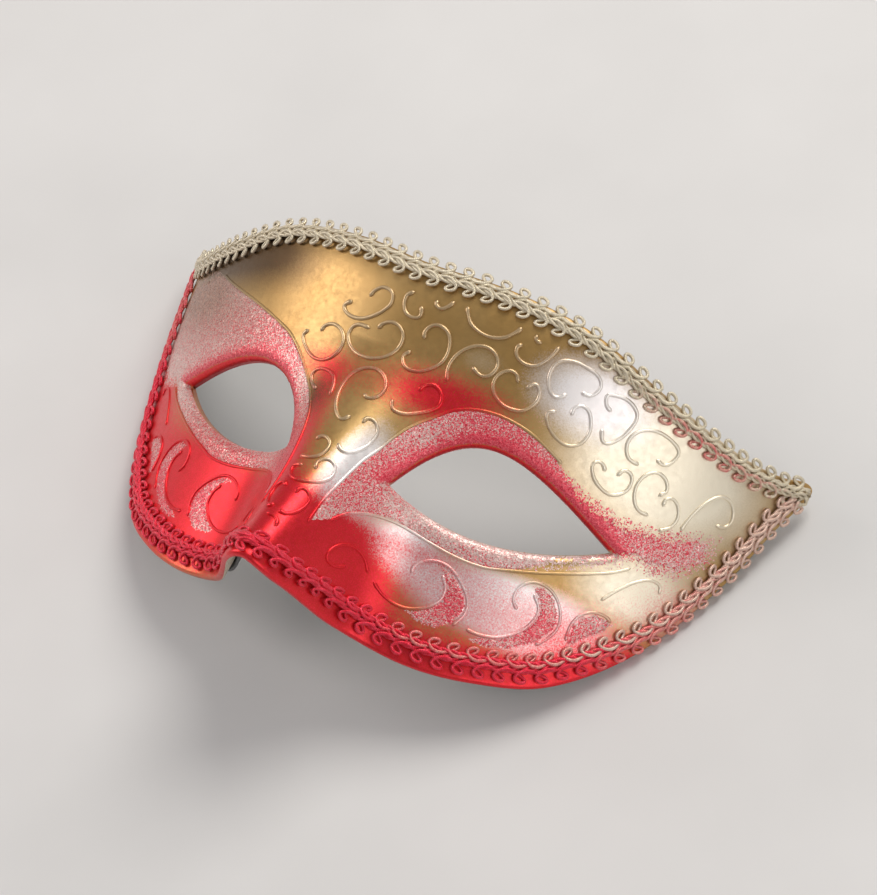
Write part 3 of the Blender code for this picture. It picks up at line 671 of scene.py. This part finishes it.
def glitter_look():
    """Fine glitter in varnish: each grain has its own colour, brightness and tilt, under painted red light
    and painted shade.
    """
    look, tree, shader, place = start_look(
        "glitter", Roughness=0.34, Metallic=0.4, Coat_Weight=0.15, Coat_Roughness=0.2, Coat_IOR=1.5
    )
    grains = node(tree, "ShaderNodeTexVoronoi", {"Vector": place, "Scale": 4.6, "Randomness": 1.0})
    chance = node(tree, "ShaderNodeSeparateXYZ", {0: grains.outputs["Color"]})
    # Painted red light: where it is strong, more grains turn red and the rest blush pink.
    amount = attribute(tree, "glitter_red_light")
    over = maths(tree, "SUBTRACT", maths(tree, "MULTIPLY", amount, 1.15), chance.outputs[0])
    pink = scaled(tree, over, -0.12, 0.12)
    pale = mixed(tree, chance.outputs[1], (0.66, 0.47, 0.42), (1.0, 0.88, 0.82))
    warm = mixed(tree, chance.outputs[1], (0.74, 0.012, 0.045), (1.0, 0.17, 0.21))
    dusky = mixed(tree, chance.outputs[1], (0.13, 0.05, 0.028), (0.58, 0.33, 0.22))
    blush = mixed(tree, scaled(tree, amount, 0.0, 1.0, 0.12, 0.5), pale, (0.90, 0.25, 0.22))
    bright = mixed(tree, pink, blush, warm)
    # Painted shade: the far glitter turns to the dark grains.
    shaded = scaled(tree, attribute(tree, "glitter_shade"), 0.0, 1.0, 0.0, 0.85)
    tree.links.new(mixed(tree, shaded, bright, dusky), shader.inputs["Base Color"])
    flake = attribute(tree, "flake")
    tree.links.new(scaled(tree, flake, 0.0, 1.0, 0.5, 0.25), shader.inputs["Roughness"])
    bumped(tree, shader, chance.outputs[2], 0.16, 0.8)
    return look


def plastic_look():
    """The shell's moulded back, with a speckled mist of paint all over it."""
    look, tree, shader, place = start_look("moulded_back", Roughness=0.5)
    grain = noise(tree, place, 2.0, 3.0, 0.7)
    colour = mixed(tree, scaled(tree, grain, 0.45, 0.62), (0.62, 0.56, 0.48), (0.48, 0.36, 0.2))
    tree.links.new(colour, shader.inputs["Base Color"])
    tree.links.new(scaled(tree, grain, 0.3, 0.7, 0.4, 0.6), shader.inputs["Roughness"])
    bumped(tree, shader, noise(tree, place, 0.9, 3.0), 0.03, 0.5)
    return look


def thread_look(name, pale, warm):
    """Twisted metallic thread: fine slanted yarns round each cord, painted shade in their grooves, and
    painted red light.
    """
    look, tree, shader, place = start_look(
        name, Roughness=0.34, Metallic=0.55, Sheen_Weight=0.2, Sheen_Roughness=0.4
    )
    yarn = node(tree, "ShaderNodeUVMap", uv_map="yarn").outputs["UV"]
    lay = node(tree, "ShaderNodeSeparateXYZ", {0: yarn})
    lengthways = maths(tree, "MULTIPLY", lay.outputs[0], 2.6)
    turns = maths(tree, "ADD", lengthways, maths(tree, "MULTIPLY", lay.outputs[1], 2.0))
    wave = maths(tree, "ABSOLUTE", maths(tree, "SINE", maths(tree, "MULTIPLY", turns, math.pi)))
    grain = noise(tree, place, 1.1, 3.0, 0.7)
    # Painted red light on the thread, speckled at its edges.
    red = speckled(tree, attribute(tree, "red"), grain, 0.6)
    gold = mixed(tree, scaled(tree, grain, 0.35, 0.65), pale, tuple(0.78 * c for c in pale))
    reds = mixed(tree, scaled(tree, grain, 0.35, 0.65), warm, (0.92, 0.06, 0.11))
    colour = mixed(tree, red, gold, reds)
    # Painted shade darkens the grooves between the yarns.
    colour = mixed(tree, scaled(tree, wave, 0.0, 0.4, 0.45, 1.0), (0.14, 0.03, 0.02), colour)
    tree.links.new(colour, shader.inputs["Base Color"])
    tree.links.new(scaled(tree, wave, 0.0, 1.0, 0.5, 0.26), shader.inputs["Roughness"])
    bumped(tree, shader, wave, 0.08, 0.7)
    return look


def felt_look(name, colour):
    """Pressed felt: short fibres in every direction, and a soft nap."""
    look, tree, shader, place = start_look(name, Roughness=0.95, Sheen_Weight=0.5, Sheen_Roughness=0.5)
    stretched = node(tree, "ShaderNodeMapping", {"Vector": place, "Scale": (0.5, 3.2, 1.0)}).outputs[0]
    crossed = node(tree, "ShaderNodeMapping", {"Vector": place, "Scale": (3.2, 0.5, 1.0)}).outputs[0]
    one_way = noise(tree, stretched, 1.6, 4.0, 0.7)
    other_way = noise(tree, crossed, 1.6, 4.0, 0.7)
    fibres = maths(tree, "MAXIMUM", one_way, other_way)
    pale = tuple(min(1.0, c * 2.6 + 0.02) for c in colour)
    tree.links.new(mixed(tree, scaled(tree, fibres, 0.5, 0.75), colour, pale), shader.inputs["Base Color"])
    bumped(tree, shader, fibres, 0.25, 0.9)
    return look


def paint_layers(flat):
    return {
        "red": ("POINT", sprayed(flat, RED_LIGHT_SPOTS)),
        "pearl_and_highlight": ("POINT", sprayed(flat, PEARL_AND_HIGHLIGHT_SPOTS)),
        "painted_shade": ("POINT", sprayed(flat, SHADE_SPOTS)),
        "champagne": ("POINT", sprayed(flat, CHAMPAGNE_SPRAY)),
        "glitter_red_light": ("POINT", sprayed(flat, GLITTER_RED_LIGHT_SPOTS)),
        "glitter_shade": ("POINT", sprayed(flat, GLITTER_SHADE_SPOTS)),
    }


def glitter_areas():
    """The closed lines round the glitter: both eye surrounds and the cheek crescents."""
    areas = []
    for side, soft_end in (("right", SOFT_END_RIGHT), ("left", SOFT_END_LEFT)):
        upper = smooth_line(EYE_BORDERS[f"{side}_upper"], LINE_SPACING)
        lower = smooth_line(EYE_BORDERS[f"{side}_lower"], LINE_SPACING)
        areas.append(np.vstack([upper, soft_end, lower[::-1]]))
    for crescent in GLITTER_CRESCENTS:
        areas.append(np.array(crescent, float))
        areas.append(np.array(mirrored(crescent), float))
    return areas


def in_glitter(flat, areas, wobble):
    """Which flat points have glitter. wobble from -1 to 1 makes the open ends' edge ragged."""
    found = np.zeros(len(flat), bool)
    for index, area in enumerate(areas):
        close = (np.abs(flat - area.mean(axis=0)) < np.ptp(area, axis=0)).all(axis=1)
        near = flat[close]
        depth = np.where(inside(near, area), 1.0, -1.0) * distance_to(near, area)
        open_end = 0.15
        if index < len(SOFT_FROM):
            open_end = np.clip((np.abs(near[:, 0]) - SOFT_FROM[index]) / 8.0, 0.0, 1.0)
        found[close] |= depth > 0.25 + (wobble[close] + 1.0) * GLITTER_SPREAD * open_end
    return found


def rolled(distance, width, drop):
    """How far a rounded rim has dropped at a distance from its edge."""
    inwards = 1.0 - np.clip(distance / width, 0.0, 1.0)
    return -drop * (1.0 - np.sqrt(np.clip(1.0 - inwards**2, 0.0, 1.0)))


def above_the_eyes(flat):
    """Which flat points are above the line between the corners of an eye."""
    (u0, v0), (u1, v1) = EYE_UPPER[0], EYE_UPPER[3]
    return flat[:, 1] > v0 + (v1 - v0) * (np.abs(flat[:, 0]) - u0) / (u1 - u0) + LID_OVER


def walled(front):
    """The faces of a sheet with two sides: the front, the same behind it, and the walls between."""
    count = front.max() + 1
    edges = wall_edges(front)
    near, far = edges[:, 1], edges[:, 0]
    walls = [
        np.stack([near, far, far + count], axis=-1),
        np.stack([near, far + count, near + count], axis=-1),
    ]
    return np.vstack([front, front[:, ::-1] + count, *walls])


def build_shell(looks):
    rng = np.random.default_rng(SEED)
    rim = smooth_line(both_sides(OUTLINE), LINE_SPACING, closed=True)
    eyes = [eye_loop(1.0), eye_loop(-1.0)]
    areas = glitter_areas()
    coarse = jittered_grid(*PATTERN_BOX, PAINT_SPACING, 0.0, rng)
    fine = jittered_grid(*GLITTER_BOX, GLITTER_SPACING, GLITTER_JITTER, rng)
    padded = np.zeros(len(fine), bool)
    near_coarse = np.zeros(len(coarse), bool)
    for area in areas:
        padded |= inside(fine, area)
        near_coarse |= inside(coarse, area)
    rows = []
    for loop, side in ((rim, 1.0), (eyes[0], -1.0), (eyes[1], 1.0)):
        for far in EDGE_ROWS:
            row = loop + to_the_right(loop) * side * far
            rows.append(row[distance_to(row, loop) > 0.97 * far])
    edge = np.minimum.reduce([distance_to(coarse, loop) for loop in (rim, *eyes)])
    coarse = coarse[(edge > EDGE_ROWS[-1] + 0.5) & ~near_coarse]
    edge = np.minimum.reduce([distance_to(fine, loop) for loop in (rim, *eyes)])
    fine = fine[(edge > 0.45) & padded]
    points = np.vstack([*rows, coarse, fine])

    def keep(middle):
        return inside(middle, rim) & ~inside(middle, eyes[0]) & ~inside(middle, eyes[1])

    points = points[keep(points)]
    flat, front = triangulated([rim, *eyes], points, keep)

    to_rim = distance_to(flat, rim)
    to_eye = np.minimum(distance_to(flat, eyes[0]), distance_to(flat, eyes[1]))
    middle = flat[front].mean(axis=1)
    glitter = in_glitter(middle, areas, rng.uniform(-1.0, 1.0, len(middle)))
    eye_far = np.minimum(distance_to(middle, eyes[0]), distance_to(middle, eyes[1]))
    glitter &= ~(above_the_eyes(middle) & (eye_far < RIM_BAND))
    grained = np.zeros(len(flat), bool)
    grained[front[glitter]] = True
    smooth_corner = np.zeros(len(flat), bool)
    smooth_corner[front[~glitter]] = True
    grained &= ~smooth_corner

    high = rolled(to_rim, *RIM_ROLL) + rolled(to_eye, *EYE_ROLL)
    high = high + grained * (0.05 + GLITTER_GRAIN * rng.random(len(flat)))
    low = -SHELL_THICKNESS - rolled(to_rim, *BACK_RIM_ROLL) + rolled(to_eye, *BACK_EYE_ROLL)
    faces = walled(front)
    points = np.vstack([wrap(flat, high), wrap(flat, low)])
    both = np.vstack([flat, flat])
    layers = paint_layers(both)
    upper_lid = above_the_eyes(both)
    from_eye = np.concatenate([to_eye, to_eye])
    # Painted red light: a smooth strip of full red along each upper lid's rim, which faces down.
    band = np.clip((RIM_BAND + 0.3 - from_eye) / 0.6, 0.0, 1.0) * upper_lid
    layers["red"] = ("POINT", np.maximum(layers["red"][1], band))
    # Painted red light on the upper lids' glitter, strongest at the eye's edge, where the lid faces down.
    lid_red_light = LID_RED_LIGHT[1] * np.exp(-((from_eye / LID_RED_LIGHT[0]) ** 2)) * upper_lid
    layers["glitter_red_light"] = ("POINT", np.clip(layers["glitter_red_light"][1] + lid_red_light, 0.0, 1.0))
    rest = len(faces) - len(front)
    layers["flake"] = ("FACE", np.concatenate([rng.random(len(front)) ** 1.6, np.zeros(rest)]))
    shown = make_piece(
        "mask_body", points, faces, looks, layers,
        smooth=np.concatenate([~glitter, np.ones(rest, bool)]), replaces="mask_shell",
    )
    kinds = np.concatenate([glitter.astype(int), np.full(len(front), 2), np.zeros(rest - len(front), int)])
    shown.data.polygons.foreach_set("material_index", kinds)
    return shown


def tube(line, up, wide, high, sides):
    """Rings round a line in space. wide and high are half sizes across and along up."""
    along = unit(np.gradient(line, axis=0))
    side = unit(np.cross(along, up))
    out = np.cross(side, along)
    angle = np.arange(sides) * 2.0 * math.pi / sides
    across = side[:, None, :] * (np.cos(angle)[None, :, None] * np.reshape(wide, (-1, 1, 1)))
    rise = out[:, None, :] * (np.sin(angle)[None, :, None] * np.reshape(high, (-1, 1, 1)))
    rings = line[:, None, :] + across + rise
    count = len(line)
    i, j = np.meshgrid(np.arange(count - 1), np.arange(sides), indexing="ij")
    after = (j + 1) % sides
    here, ahead = i * sides, (i + 1) * sides
    quads = np.stack([here + j, ahead + j, ahead + after, here + after], axis=-1)
    run = np.concatenate([[0.0], np.cumsum(np.linalg.norm(np.diff(line, axis=0), axis=1))])
    yarn = np.stack(
        [
            np.stack([run[i], j / sides], axis=-1), np.stack([run[i + 1], j / sides], axis=-1),
            np.stack([run[i + 1], (j + 1) / sides], axis=-1), np.stack([run[i], (j + 1) / sides], axis=-1),
        ],
        axis=2,
    )
    return rings.reshape(-1, 3), quads.reshape(-1, 4), yarn.reshape(-1, 2)


def tubes_piece(name, tubes, layers, look, replaces):
    """Several tubes as one piece, with the lie of their yarn as its UV map."""
    points, faces, yarns, start = [], [], [], 0
    for ring_points, quads, yarn in tubes:
        points.append(ring_points)
        faces.append(quads + start)
        yarns.append(yarn)
        start += len(ring_points)
    piece = make_piece(name, np.vstack(points), np.vstack(faces), [look], layers, True, replaces)
    lay = piece.data.uv_layers.new(name="yarn")
    lay.data.foreach_set("uv", np.vstack(yarns).astype(np.float32).ravel())
    return piece


def build_bead(name, points, size, look, replaces, rng):
    """One raised line: a half-sunk bead of paint, a little uneven, with a drop at each end."""
    flat = smooth_line(points, 0.35)
    count = len(flat)
    run = np.concatenate([[0.0], np.cumsum(np.linalg.norm(np.diff(flat, axis=0), axis=1))])
    to_end = np.minimum(run, run[-1] - run)
    bumps = np.arange(0.0, run[-1] + 2.0, 2.0)
    uneven = np.interp(run, bumps, rng.normal(0.0, 0.06, len(bumps)))
    swell = 1.0 + 0.25 * np.exp(-(((to_end - 0.7) / 0.8) ** 2)) + uneven
    cap = np.sqrt(np.clip(1.0 - (1.0 - np.clip(to_end / 0.6, 0.03, 1.0)) ** 2, 0.0, 1.0))
    wide = size[0] * swell * cap
    high = size[1] * (0.6 + 0.4 * swell) * cap
    made = tube(wrap(flat, np.full(count, 0.02)), outward(flat), wide, high, BEAD_SIDES)
    layers = paint_layers(np.repeat(flat, BEAD_SIDES, axis=0))
    tubes_piece(name, [made], layers, look, replaces)


def build_relief(gold, pink):
    rng = np.random.default_rng(SEED + 1)
    bead = (BEAD_HALF_WIDTH, BEAD_HEIGHT)
    border = (BORDER_HALF_WIDTH, BORDER_HEIGHT)
    for number, points in enumerate(RELIEF_SCROLLS, start=1):
        node_name = f"relief_scroll_{number:02d}"
        build_bead(f"scroll_{number:02d}", points, bead, gold, node_name, rng)
    for number, points in enumerate(CHEEK_SWIRLS, start=1):
        for side, line in (("right", points), ("left", mirrored(points))):
            node_name = f"cheek_swirl_{side}_{number}"
            build_bead(f"swirl_{side}_{number}", line, border, pink, node_name, rng)
    for place, points in EYE_BORDERS.items():
        build_bead(f"border_{place}", points, border, pink, f"eye_border_{place}", rng)


def bottom_inset(line):
    start, end = BRAID_LOWER_V
    low = np.clip((start - line[:, 1]) / (start - end), 0.0, 1.0)
    beside_nose = np.minimum(np.abs(line[:, 0]) / BRAID_NOSE_U, 1.0)
    return BRAID_INSET_TOP + (BRAID_INSET_BOTTOM - BRAID_INSET_TOP) * low * beside_nose


class Ribbon:
    """A run of braid on the face: places along it, across it and over it."""

    def __init__(self, line, ends):
        run = np.concatenate([[0.0], np.cumsum(np.linalg.norm(np.diff(line, axis=0), axis=1))])
        line = line[(run >= ends[0]) & (run <= run[-1] - ends[1])]
        space = wrap(line, np.zeros(len(line)))
        self.line = line
        self.run = np.concatenate([[0.0], np.cumsum(np.linalg.norm(np.diff(space, axis=0), axis=1))])
        self.side = to_the_right(line, closed=False)
        step = 0.1
        moved = wrap(line + self.side * step, np.zeros(len(line))) - space
        self.stretch = np.linalg.norm(moved, axis=1) / step
        self.length = self.run[-1]

    def flat(self, along, across):
        """Across is to the right of the run, so it is inwards."""
        middle = np.stack([np.interp(along, self.run, self.line[:, k]) for k in (0, 1)], axis=-1)
        side = unit(np.stack([np.interp(along, self.run, self.side[:, k]) for k in (0, 1)], axis=-1))
        return middle + side * (across / np.interp(along, self.run, self.stretch))[:, None]

    def cord(self, along, across, over, radius):
        flat = self.flat(np.clip(along, 0.0, self.length), across)
        return flat, tube(wrap(flat, over), outward(flat), radius, radius, CORD_SIDES)


def part_way(value, start, end):
    """0 at the start and 1 at the end, and kept between them."""
    return np.clip((value - start) / (end - start), 0.0, 1.0)


def braid_red_light(flat, side, place):
    """Painted red light on the thread: deep along the lower run, and a blush on the upper run's inner edge.
    """
    u = flat[:, 0]
    inner = place == "inner"
    if side == "bottom":
        amount = 1.0 - 0.75 * part_way(u, 52.0, 90.0) - 0.35 * part_way(-u, 72.0, 87.0)
        # Less red light on the near half's inner curls, so the pale thread shows there as painted
        # highlight.
        return amount - 0.42 * inner * part_way(u, 10.0, 30.0)
    middle, reach, strength = (72.0, 26.0, 0.55) if inner else (80.0, 20.0, 0.2)
    return strength * np.exp(-(((u - middle) / reach) ** 2)) + 0.3 * part_way(-u, 75.0, 95.0)


def build_braid(side, line, ends, look):
    ribbon = Ribbon(line, ends)
    repeats = round(ribbon.length / BRAID_PITCH)
    turn = np.linspace(0.0, 2.0 * math.pi * repeats, repeats * 40)
    pitch = ribbon.length / repeats
    for place, way in (("outer", -1.0), ("inner", 1.0)):
        along = pitch * (turn / (2.0 * math.pi) + 0.25 * way) + CURL_ALONG * np.sin(turn + CURL_LEAN)
        offset = CURL_OFFSET + (OUTER_SHIFT if place == "outer" else 0.0)
        across = way * (offset - CURL_ACROSS * np.cos(turn))
        sweep = np.maximum(np.cos(turn), 0.0) ** 2
        across = across - way * CURL_SWEEP * sweep
        over = BRAID_LIFT + CURL_HEIGHT + CURL_WAVE * np.sin(turn) + CURL_RISE * sweep
        flat, made = ribbon.cord(along, across, over, CORD_RADIUS)
        layers = {"red": ("POINT", np.repeat(braid_red_light(flat, side, place), CORD_SIDES))}
        tubes_piece(f"{side}_{place}_curls", [made], layers, look, f"{side}_braid_{place}_scroll")
    tubes, reds = [], []
    repeats = round(ribbon.length / PLAIT_PITCH)
    turn = np.linspace(0.0, 2.0 * math.pi * repeats, repeats * 36)
    for strand in range(PLAIT_STRANDS):
        phase = turn + strand * 2.0 * math.pi / PLAIT_STRANDS
        across = PLAIT_HALF_WIDTH * np.sin(phase)
        over = BRAID_LIFT + PLAIT_HEIGHT + PLAIT_WAVE * np.sin(2.0 * phase)
        flat, made = ribbon.cord(ribbon.length * turn / turn[-1], across, over, PLAIT_RADIUS)
        tubes.append(made)
        reds.append(np.repeat(braid_red_light(flat, side, "core"), CORD_SIDES))
    layers = {"red": ("POINT", np.concatenate(reds))}
    tubes_piece(f"{side}_plait", tubes, layers, look, f"{side}_braid_core")


def build_trim(gold_thread, red_lit_thread):
    tip = max(range(len(OUTLINE)), key=lambda index: OUTLINE[index][0])
    top = smooth_line(mirrored(OUTLINE[tip:0:-1]) + list(OUTLINE[: tip + 1]), LINE_SPACING)
    bottom = smooth_line(list(OUTLINE[tip:]) + mirrored(OUTLINE[-2 : tip - 1 : -1]), LINE_SPACING)
    top = top + to_the_right(top, closed=False) * (BRAID_INSET_TOP - TOP_SHIFT)
    bottom = bottom + to_the_right(bottom, closed=False) * bottom_inset(bottom)[:, None]
    point = np.array(OUTLINE[tip]) - TIP_REACH
    start = smooth_line([point * (-1.0, 1.0), top[2]], 0.5)[:-1]
    end = smooth_line([top[-3], point], 0.5)[1:]
    top = np.vstack([start, top[2:-2], end])
    build_braid("top", top, (0.0, 0.0), gold_thread)
    build_braid("bottom", bottom, BOTTOM_ENDS, red_lit_thread)


def build_lining(look):
    rng = np.random.default_rng(SEED + 2)
    rim = smooth_line(both_sides(OUTLINE), 1.2, closed=True)
    edge = rim + to_the_right(rim) * LINING_INSET
    edge = edge[distance_to(edge, rim) > 0.96 * LINING_INSET]
    eyes = [eye_loop(side, LINING_EYE_MARGIN + LINING_EYE_CLEARANCE, 30) for side in (1.0, -1.0)]
    notch = smooth_line(NOSE_NOTCH, 1.5)

    def keep(middle):
        cut = inside(middle, eyes[0]) | inside(middle, eyes[1]) | inside(middle, notch)
        return inside(middle, edge) & ~cut

    points = jittered_grid(*PATTERN_BOX, LINING_SPACING, 0.1, rng)
    clear = np.minimum.reduce([distance_to(points, loop) for loop in (edge, *eyes, notch)]) > 0.6
    flat, top = triangulated([edge, *eyes, notch], points[clear & keep(points)], keep)
    uneven = rng.normal(0.0, 0.02, len(flat))
    upper = wrap(flat, LINING_TOP - 0.08)
    lower = wrap(flat, LINING_TOP - LINING_THICKNESS + np.clip(uneven, -0.05, 0.05))
    cloth = make_piece(
        "felt_cloth", np.vstack([upper, lower]), walled(top), [look],
        replaces="felt_lining",
    )
    across = np.linspace(edge[:, 0].min(), edge[:, 0].max(), 200)
    arc = wrap(np.stack([across, np.full(200, 20.0)], axis=-1), LINING_TOP)


def build_patches(felt, thread):
    """The two felt patches keep their solids, and get a running stitch round the edge."""
    for name, side in (("right", 1.0), ("left", -1.0)):
        frame["nodes"][f"tie_anchor_{name}"].material_slots[0].material = felt
        flat = np.array([ANCHOR_PLACE]) * (side, 1.0)
        out = outward(flat)[0]
        ahead, behind = (outer_face(flat[:, 0] + step, flat[:, 1]) for step in (0.05, -0.05))
        across = unit(ahead - behind)[0]
        up = np.cross(out, across)
        middle = wrap(flat, -ANCHOR_DEPTH - ANCHOR_SIZE[2] / 2.0)[0]
        half = [size / 2.0 - STITCH_INSET for size in ANCHOR_SIZE[:2]]
        corners = np.array([(-1, -1), (1, -1), (1, 1), (-1, 1), (-1, -1)]) * half
        edges = np.linalg.norm(np.diff(corners, axis=0), axis=1)
        run = np.concatenate([[0.0], np.cumsum(edges)])
        tubes = []
        for start in np.arange(0.5, run[-1] - STITCH_LENGTH, STITCH_PITCH):
            share = np.linspace(0.0, 1.0, 9)
            at = start + share * STITCH_LENGTH
            x, y = (np.interp(at, run, corners[:, k]) for k in (0, 1))
            proud = STITCH_RADIUS * (2.2 * np.sin(math.pi * share) - 1.0)
            line = middle + np.outer(x, across) + np.outer(y, up) - np.outer(proud, out)
            facing = np.tile(-out, (len(line), 1))
            tubes.append(tube(line, facing, STITCH_RADIUS, STITCH_RADIUS, CORD_SIDES))
        layers = {"red": ("POINT", np.zeros(sum(len(made[0]) for made in tubes)))}
        tubes_piece(f"patch_stitches_{name}", tubes, layers, thread, None)


def build_studio():
    """A plain pale floor under soft light from above and from both sides."""
    floor_mesh = bpy.data.meshes.new("floor")
    corners = [(x * FLOOR_REACH, y * FLOOR_REACH, 0.0) for x, y in ((-1, -1), (1, -1), (1, 1), (-1, 1))]
    floor_mesh.from_pydata(corners, [], [(0, 1, 2, 3)])
    look, tree, shader, place = start_look("floor", Roughness=0.75)
    shade = scaled(tree, noise(tree, place, 0.02, 3.0), 0.3, 0.7)
    tree.links.new(mixed(tree, shade, (0.72, 0.71, 0.70), (0.76, 0.75, 0.74)), shader.inputs["Base Color"])
    floor_mesh.materials.append(look)
    floor = bpy.data.objects.new("floor", floor_mesh)
    bpy.context.scene.collection.objects.link(floor)

    world = bpy.data.worlds.new("studio")
    world.use_nodes = True
    sky = world.node_tree.nodes["Background"]
    sky.inputs["Color"].default_value = WORLD_COLOUR
    sky.inputs["Strength"].default_value = WORLD_STRENGTH
    bpy.context.scene.world = world
    for name, (place, size, power, colour) in LAMPS.items():
        lamp = bpy.data.lights.new(name, "AREA")
        lamp.shape = "DISK"
        lamp.size = size
        lamp.energy = power
        lamp.color = colour
        holder = bpy.data.objects.new(name, lamp)
        holder.location = place
        holder.rotation_euler = (-Vector(place)).to_track_quat("-Z", "Y").to_euler()
        bpy.context.scene.collection.objects.link(holder)


def build_camera():
    right = unit(TILT @ np.array(CAMERA_RIGHT))
    back = unit(TILT @ np.array(CAMERA_BACK))
    up = unit(np.cross(back, right))
    place = to_world(np.array(CAMERA_TARGET) + np.array(CAMERA_BACK) * CAMERA_DISTANCE)
    data = bpy.data.cameras.new("camera")
    data.sensor_fit = "VERTICAL"
    data.sensor_height = SENSOR_HEIGHT
    data.lens = FOCAL_LENGTH
    data.clip_start = 0.05
    camera = bpy.data.objects.new("camera", data)
    turn = Matrix(np.stack([np.cross(up, back), up, back], axis=-1).tolist()).to_4x4()
    camera.matrix_world = Matrix.Translation(Vector(place)) @ turn
    bpy.context.scene.collection.objects.link(camera)
    bpy.context.scene.camera = camera
    bpy.context.scene.view_settings.view_transform = "Standard"


def build():
    shell = build_shell([paint_look("spray_paint"), glitter_look(), plastic_look()])
    # The raised beads take the spray paint with painted highlight mixed in.
    build_relief(paint_look("piped_gold", 0.2), paint_look("piped_pink", 0.06))
    build_trim(thread_look("gold_thread", *GOLD_THREAD), thread_look("red_lit_thread", *RED_LIT_THREAD))
    build_lining(felt_look("lining_felt", LINING_BLACK))
    stitches = thread_look("stitching", *GREY_THREAD)
    build_patches(felt_look("patch_felt", PATCH_BLACK), stitches)
    build_studio()
    build_camera()


build()
bpy.context.view_layer.update()
